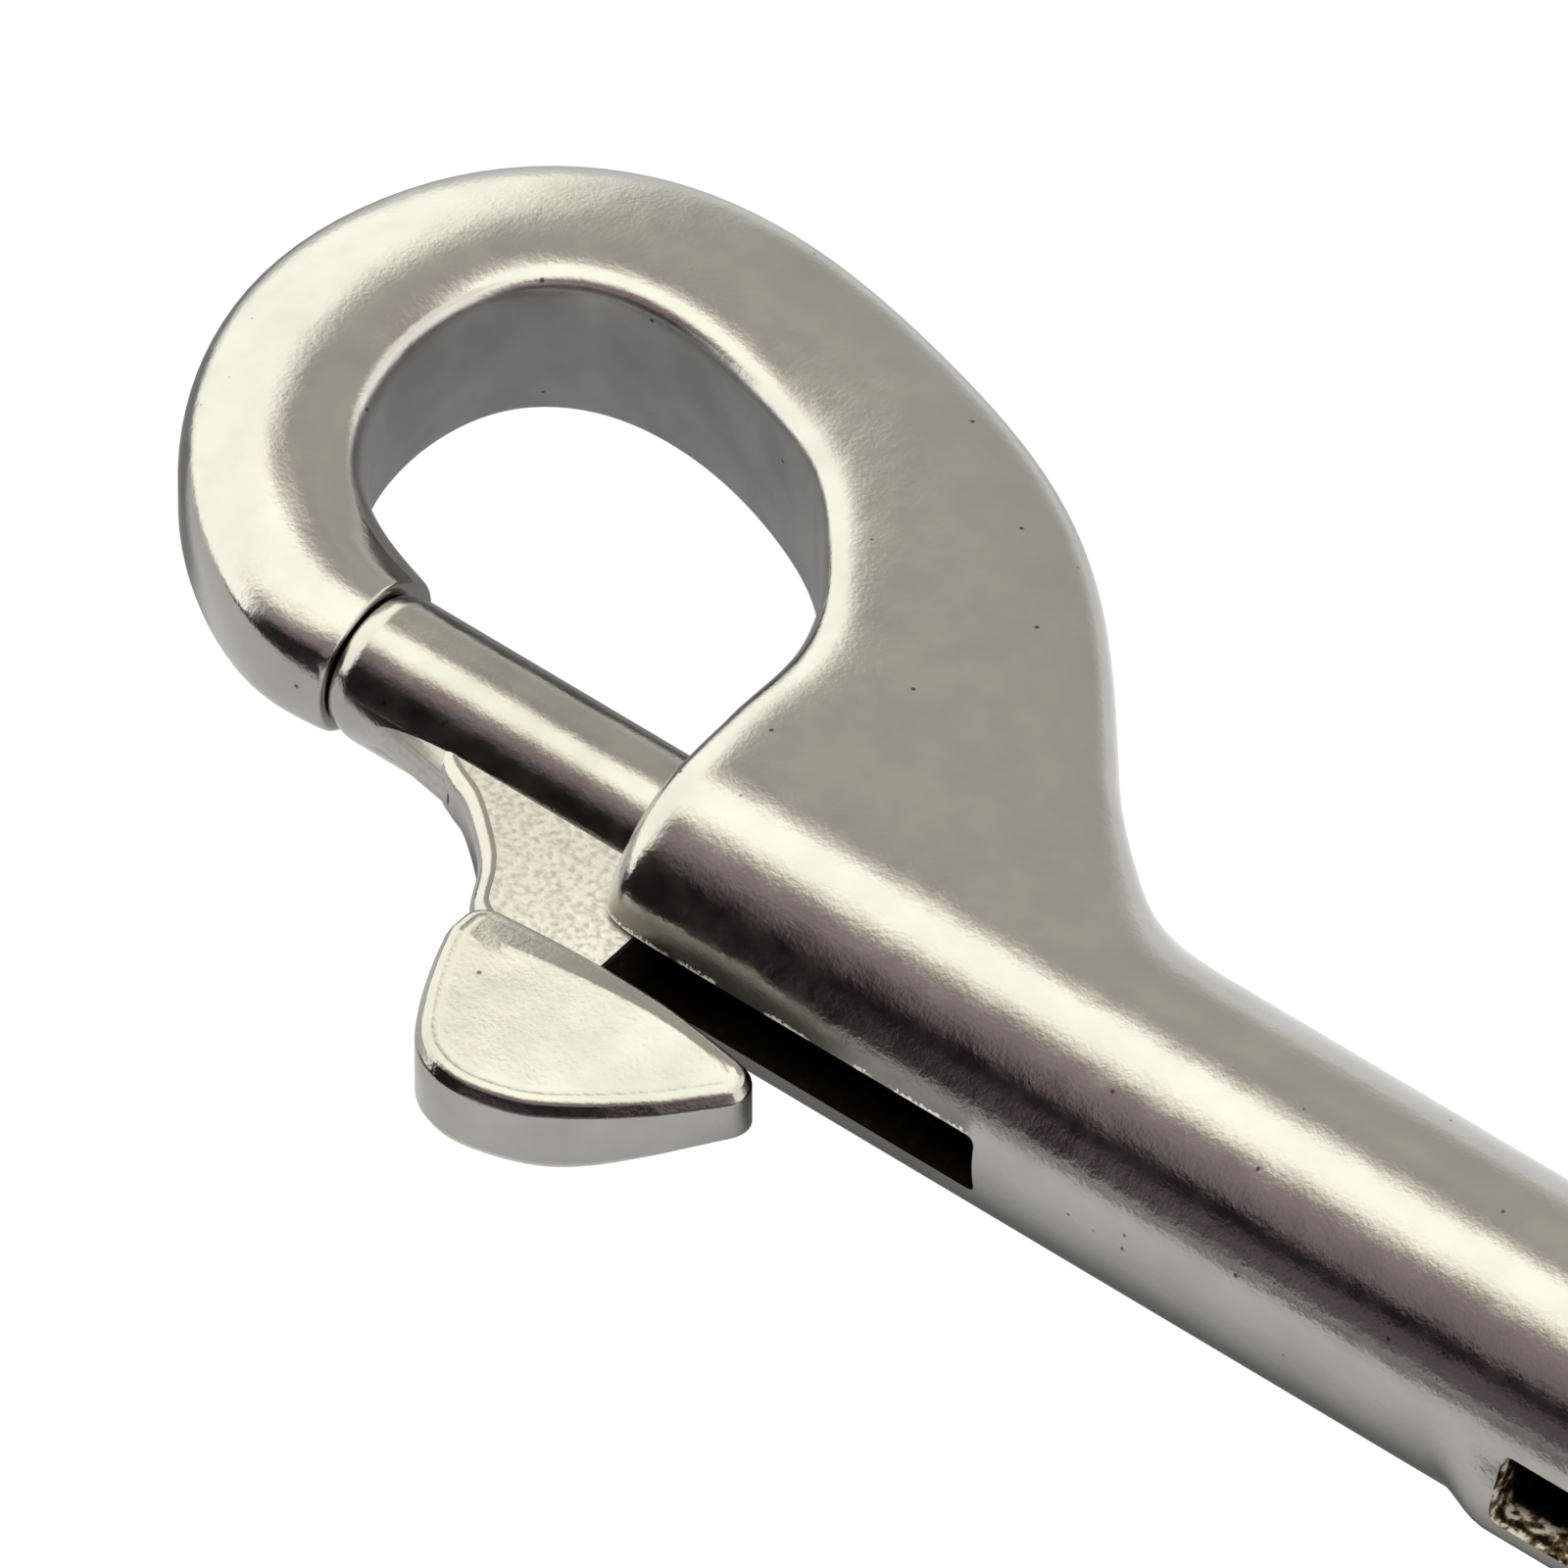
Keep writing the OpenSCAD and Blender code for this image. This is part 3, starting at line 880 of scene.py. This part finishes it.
# %% The cutter for the bores and slots
slot_corner = 0.4
over = 1
cutter = rod("bore_cutter", 96, bore_r, bore_deep + over, at((bore_deep - over) / 2, 0, 0))
slot_deep = barrel_r + rim_proud + over
bpy.ops.object.select_all(action="DESELECT")
bpy.ops.mesh.primitive_cube_add(size=1, location=at((slot_len - over) / 2, -slot_deep / 2, 0),
                                scale=(slot_len + over, slot_deep, slot_w))
slot_cut = bpy.context.object
only(slot_cut)
bpy.ops.object.transform_apply(location=True, rotation=True, scale=True)
edit(slot_cut, "DESELECT", "EDGE")
mesh = bmesh.from_edit_mesh(slot_cut.data)
for edge in mesh.edges:
    ends = [from_mouth(v.co) for v in edge.verts]
    edge.select_set(all(e.x > slot_len - 0.1 for e in ends) and abs(ends[0].z - ends[1].z) < 0.1)
bpy.ops.mesh.bevel(offset=slot_corner, segments=4)
apply_modifier(cutter, "BOOLEAN", operation="UNION", object=slot_cut, solver="MANIFOLD")
bpy.data.objects.remove(slot_cut)
apply_modifier(cutter, "MIRROR", use_axis=(True, False, False), merge_threshold=0.0001)
cutter.data.materials.append(inside_dark)
print("cutter:", len(cutter.data.polygons), "faces")

# %% Cut the body
apply_modifier(body, "BOOLEAN", operation="DIFFERENCE", object=cutter, solver="MANIFOLD",
               material_mode="TRANSFER")
bpy.data.objects.remove(cutter)
cut_faces = [face for face in body.data.polygons if face.material_index not in (0, 1)]
for face in cut_faces:
    face.material_index = 2
only(body)
bpy.ops.object.shade_smooth_by_angle(angle=math.radians(38))
to_metres(body)
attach(body, "body")
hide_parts("body")
print("body cut:", len(body.data.polygons), "faces, materials", [m.name for m in body.data.materials])

# %% [markdown]
# ## The gate bolts
#
# A gate bolt is a casting too: a round bolt, a flat web under it that runs in the slot,
# and a thumb knob under the web. The bolt is a cylinder with a bevelled tail, and its tip
# is inset ring by ring. The web is an outline extruded to its thickness. The knob starts
# as a circle whose points are moved on to its D-shaped outline, and rings of insets make
# its soft edges.

# %% Bolt
# steps inwards and forwards: a shallow cone, then a small round
tip_steps = [(0.01, 0.12), (0.03, 0.14), (0.12, 0.52), (0.05, 0.1), (0.06, 0.05), (0.06, 0.02)]
tip_long = sum(forwards for _, forwards in tip_steps)
bolt_in = 7
tail_bevel = 0.5
tip_x = nose_gap - gate_len
round_from = tip_x + tip_long
bolt_middle = at((bolt_in + round_from) / 2, 0, 0)
bolt = rod("gate_bolt_left_casting", 128, bolt_r, bolt_in - round_from, bolt_middle)
pick_faces(bolt, lambda c, n: n.x > 0.9)
bpy.ops.mesh.bevel(offset=tail_bevel, segments=4)
pick_faces(bolt, lambda c, n: n.x < -0.9)
for inwards, forwards in tip_steps:
    bpy.ops.mesh.inset(thickness=inwards, depth=forwards, use_even_offset=True)
bpy.ops.object.mode_set(mode="OBJECT")


def darken_sheltered(piece, sheltered_from=0.4):
    """Cuts a piece behind the mouth and gives what lies past the cut the dark material, painted shade
    where the barrel shelters it.
    """
    piece.data.materials.append(bolt_dark)
    edit(piece)
    bpy.ops.mesh.bisect(plane_co=at(sheltered_from, 0, 0), plane_no=(1, 0, 0))
    pick_faces(piece, lambda c, n: c.x > sheltered_from)
    piece.active_material_index = len(piece.data.materials) - 1
    bpy.ops.object.material_slot_assign()
    bpy.ops.object.mode_set(mode="OBJECT")


bolt.data.materials.append(bolt_polish)
darken_sheltered(bolt)
print("bolt:", len(bolt.data.polygons), "faces")

# %% Outlines of the web and the knob


def through(points, steps=6):
    """A smooth line through the points of an open outline."""
    ends = [points[0]] + points + [points[-1]]
    line = []
    for a, b, c, d in zip(ends, ends[1:], ends[2:], ends[3:]):
        for k in range(steps):
            t = k / steps
            line.append(0.5 * (2 * b + (c - a) * t + (2 * a - 5 * b + 4 * c - d) * t * t
                               + (3 * b - 3 * c + d - a) * t ** 3))
    return line + [points[-1]]


def arc(centre, r, start, stop, steps):
    """Points round an arc, from a start to a stop in degrees."""
    turns = [math.radians(start + (stop - start) * k / steps) for k in range(steps + 1)]
    return [centre + Vector((math.cos(t), math.sin(t))) * r for t in turns]


knob_len = 13.5
knob_deep = 7.6
knob_ahead = 3.1
knob_top = -barrel_r - 2.2
knob_corner = 1.1
knob_t = 3.6


def knob_at(x, y):
    """A point of the knob's outline, as shares of its length and depth."""
    return Vector((knob_len * x - knob_ahead, knob_top - knob_deep * y))


def web_at(x, y):
    """A point of the web's front, as shares from the knob's front to the nose, and from
    the bolt's underside to the knob."""
    return Vector((-knob_ahead - (gate_len - knob_ahead) * x, -bolt_r + (knob_top + bolt_r) * y))


def filled_outline(name, points, z):
    """A face with the given outline: a filled circle whose points are moved on to it."""
    bpy.ops.object.select_all(action="DESELECT")
    bpy.ops.mesh.primitive_circle_add(vertices=len(points), radius=1, fill_type="NGON")
    piece = bpy.context.object
    piece.name = name
    for vert, point in zip(piece.data.vertices, points):
        vert.co = at(point.x, point.y, z)
    return piece


# %% Web
web_gap = 0.2
web_t = slot_w - 2 * web_gap
web_in = 2.3
web_round = 0.62
pocket_in = 0.1
pocket_deep = 0.03
web_front = through([web_at(*p) for p in [
    (0.57, -0.1), (0.52, 0.02), (0.475, 0.1), (0.42, 0.16), (0.34, 0.245),
    (0.2, 0.5), (0.126, 0.69), (0.05, 0.98), (-0.05, 1.1)]])
web_points = [Vector((web_front[0].x, 0))] + web_front
web_points += [Vector((web_in, knob_top - 0.4)), Vector((web_in, 0))]
web = filled_outline("web", web_points, -web_t / 2)
edit(web)
bpy.ops.mesh.extrude_region_move(TRANSFORM_OT_translate={"value": (0, 0, web_t)})
bpy.ops.mesh.select_all(action="SELECT")
bpy.ops.mesh.normals_make_consistent(inside=False)
web.data.materials.append(bolt_polish)
web.data.materials.append(web_rough)
edit(web, "DESELECT", "EDGE")
mesh = bmesh.from_edit_mesh(web.data)
for edge in mesh.edges:
    middle = from_mouth((edge.verts[0].co + edge.verts[1].co) / 2)
    on_rim = abs(middle.z) > web_t / 2 - 0.01
    on_front = middle.y < -bolt_r + 0.5 and middle.x < web_in - 0.1 and middle.y > knob_top - 0.35
    edge.select_set(on_rim and on_front)
bpy.ops.mesh.bevel(offset=web_round, segments=6)
pick_faces(web, lambda c, n: abs(n.z) > 0.95 and abs(c.z) > web_t / 2 - 0.01)
bpy.ops.mesh.inset(thickness=pocket_in, depth=-pocket_deep)
web.active_material_index = 1
bpy.ops.object.material_slot_assign()
darken_sheltered(web, web_in - 0.2)
print("web outline of", len(web_points), "points")

# %% Belly
# ahead of the web the bolt swells towards it: a short rod let into the bolt's underside
# leans down towards the web, matt, because a polishing wheel doesn't reach in there
belly_r = 1.22
belly_len = 4.9
belly_x = -10.55
belly_y = -2.11
belly_lean = math.radians(10)
belly = rod("belly", 128, belly_r, belly_len, at(belly_x, belly_y, 0), belly_lean)
belly.data.materials.append(fillet_matt)
print("belly:", len(belly.data.polygons), "faces")

# %% Outline of the knob
knob_low = through([knob_at(*p) for p in [
    (0, 0.25), (0.04, 0.46), (0.1, 0.69), (0.175, 0.88), (0.275, 0.98), (0.4, 1),
    (0.57, 0.92), (0.72, 0.74), (0.86, 0.5)]])
front_corner = arc(knob_at(0, 0) + Vector((1, -1)) * knob_corner, knob_corner, 90, 180, 8)
rear_corner = arc(knob_at(1, 0) + Vector((-1, -1)) * knob_corner, knob_corner, -45, 90, 12)
top_steps = 24
knob_top_side = [rear_corner[-1].lerp(front_corner[0], k / top_steps) for k in range(1, top_steps)]
knob_points = front_corner + knob_low[1:] + rear_corner + knob_top_side
print("knob outline of", len(knob_points), "points")

# %% Knob
# steps inwards and upwards from the wall: a flat of 0.3 mm breaks the edge
edge_steps = [(0.02, 0.12), (0.04, 0.07), (0.02, 0.024), (0.165, 0.27), (0.02, 0.02), (0.06, 0.045),
              (0.1, 0.035), (0.15, 0.015), (0.08, 0.0)]
edge_high = sum(up for _, up in edge_steps)
groove_wide = 0.12
groove_deep = 0.02
dome_steps = 20
pad_middle = knob_at(0.42, 0.4)
knob = filled_outline("knob", knob_points, -knob_t / 2 + edge_high)
edit(knob)
bpy.ops.mesh.extrude_region_move(TRANSFORM_OT_translate={"value": (0, 0, knob_t - 2 * edge_high)})
bpy.ops.mesh.select_all(action="SELECT")
bpy.ops.mesh.normals_make_consistent(inside=False)
for side in (-1, 1):
    pick_faces(knob, lambda c, n: n.z * side > 0.9)
    for inwards, up in edge_steps + [(groove_wide, -groove_deep), (groove_wide, groove_deep)]:
        bpy.ops.mesh.inset(thickness=inwards, depth=up, use_even_offset=True)
    for k in range(dome_steps, 1, -1):
        shrink = (k - 1) / k
        bpy.ops.mesh.extrude_region_move()
        bpy.ops.transform.resize(value=(shrink, shrink, 1), center_override=at(*pad_middle, 0))
    bpy.ops.mesh.poke()
bpy.ops.object.mode_set(mode="OBJECT")
print("knob:", len(knob.data.polygons), "faces")

# %% [markdown]
# Each face of the knob is crowned like a thumb pad, highest next to the barrel, where a
# bevel breaks it, wide at the front. The lower face swells in front and rises towards the
# rear. The heights are in millimetres, and the places are shares of the knob's length.

# %% Crown the knob's faces
pad_high = 3.1
pad_fall = 1.5
pad_crown_front = 1.7
pad_crown_rear = 3.4
crown_at = 0.45
bevel_wide = 1.9
bevel_narrows = 1.3
bevel_slope = 0.4
rear_from = 0.6
upper_rear_falls = 0.3
lower_front_swells = 0.8
lower_rear_rises = 0.9
for vert in knob.data.vertices:
    place = from_mouth(vert.co)
    deep = (knob_top - place.y) / knob_deep
    along = (place.x + knob_ahead) / knob_len
    pad_crown = pad_crown_front if along < crown_at else pad_crown_rear
    rise = pad_high - knob_t / 2 - pad_fall * deep - pad_crown * (along - crown_at) ** 2
    rise -= bevel_slope * max(0.0, bevel_wide - bevel_narrows * along - deep * knob_deep)
    rear = step(along, rear_from, 1.0)
    if place.z > 0:
        rise -= upper_rear_falls * rear
    else:
        near_front = 1 - step(along, 0.0, rear_from)
        rise += lower_front_swells * near_front - lower_rear_rises * rear
    vert.co.z += place.z / (knob_t / 2) * rise
knob_half = max(vert.co.z for vert in knob.data.vertices) - axis_z
print(f"knob crowned to {knob_half:.2f} mm over its middle")

# %% Join the bolt
knob.data.materials.append(bolt_polish)
for part in (belly, web, knob):
    apply_modifier(bolt, "BOOLEAN", operation="UNION", object=part, solver="MANIFOLD",
                   material_mode="TRANSFER")
    bpy.data.objects.remove(part)
only(bolt)
bpy.ops.object.shade_smooth_by_angle(angle=math.radians(35))
print("gate bolt:", len(bolt.data.polygons), "faces, materials", [m.name for m in bolt.data.materials])


# %% The right gate bolt


def mirrored(piece, name):
    """A copy with its own mesh, mirrored about the middle of the hook."""
    copy = piece.copy()
    copy.data = piece.data.copy()
    copy.name = name
    bpy.context.scene.collection.objects.link(copy)
    copy.data.transform(Matrix.Scale(-1, 4, (1, 0, 0)))
    copy.data.flip_normals()
    return copy


bolt_right = mirrored(bolt, "gate_bolt_right_casting")
for piece, side in ((bolt, "left"), (bolt_right, "right")):
    to_metres(piece)
    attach(piece, f"gate_{side}")
    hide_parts(f"gate_bolt_{side}")
print("gate bolts:", bolt.name, bolt_right.name)

# %% [markdown]
# ## The springs
#
# Behind each bolt a coil spring fills the bore. A small circle of wire section, screwed
# round the barrel's axis, gives its turns; the turns at both ends are then drawn together,
# as the closed ends of a compression spring are.

# %% An even coil
wire_d = 0.65
wire_sides = 12
turns = 9
turn_steps = 40
coil_gap = 0.35
coil_r = bore_r - coil_gap - wire_d / 2
spring_from = bolt_in + spring_gap
spring_to = bore_deep - spring_gap
run = spring_to - spring_from - wire_d
bpy.ops.object.select_all(action="DESELECT")
bpy.ops.mesh.primitive_circle_add(vertices=wire_sides, radius=wire_d / 2,
                                  rotation=(math.pi / 2, 0, 0))
spring = bpy.context.object
spring.name = "spring_left_wire"
only(spring)
bpy.ops.object.transform_apply(location=True, rotation=True, scale=True)
edit(spring)
bpy.ops.transform.translate(value=(coil_r, 0, 0))
bpy.ops.object.mode_set(mode="OBJECT")
apply_modifier(spring, "SCREW", angle=2 * math.pi, screw_offset=run / turns, iterations=turns,
               steps=turn_steps, render_steps=turn_steps, axis="Z", use_normal_calculate=True)
edit(spring, "DESELECT", "EDGE")
bpy.ops.mesh.select_non_manifold()
bpy.ops.mesh.edge_face_add()
bpy.ops.mesh.select_all(action="SELECT")
bpy.ops.mesh.normals_make_consistent(inside=False)
bpy.ops.object.mode_set(mode="OBJECT")
print("even coil:", len(spring.data.polygons), "faces")

# %% Close the ends of the coil


def drawn_together(z):
    """How far along a point of the even coil goes when the end turns close up."""
    pitch = run / turns
    t = z / pitch
    open_pitch = (run - 2 * wire_d) / (turns - 2)
    inside = min(max(t - 1, 0), turns - 2)
    return wire_d * (min(t, 1) + max(t - turns + 1, 0)) + open_pitch * inside


for vert in spring.data.vertices:
    x, y, z = vert.co
    vert.co = at(spring_from + wire_d / 2 + drawn_together(z), x, y)
spring.data.materials.append(spring_wire)
edit(spring)
bpy.ops.mesh.normals_make_consistent(inside=False)
bpy.ops.object.mode_set(mode="OBJECT")
only(spring)
bpy.ops.object.shade_smooth()
print("closed coil of", turns, "turns")

# %% Both springs
# each stands on the wall between the bores
spring_right = mirrored(spring, "spring_right_wire")
for piece, side, way in ((spring, "left", -1), (spring_right, "right", 1)):
    to_metres(piece)
    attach(piece, "body")
    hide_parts(f"spring_{side}")
    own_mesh(piece)
print("springs:", spring.name, spring_right.name)
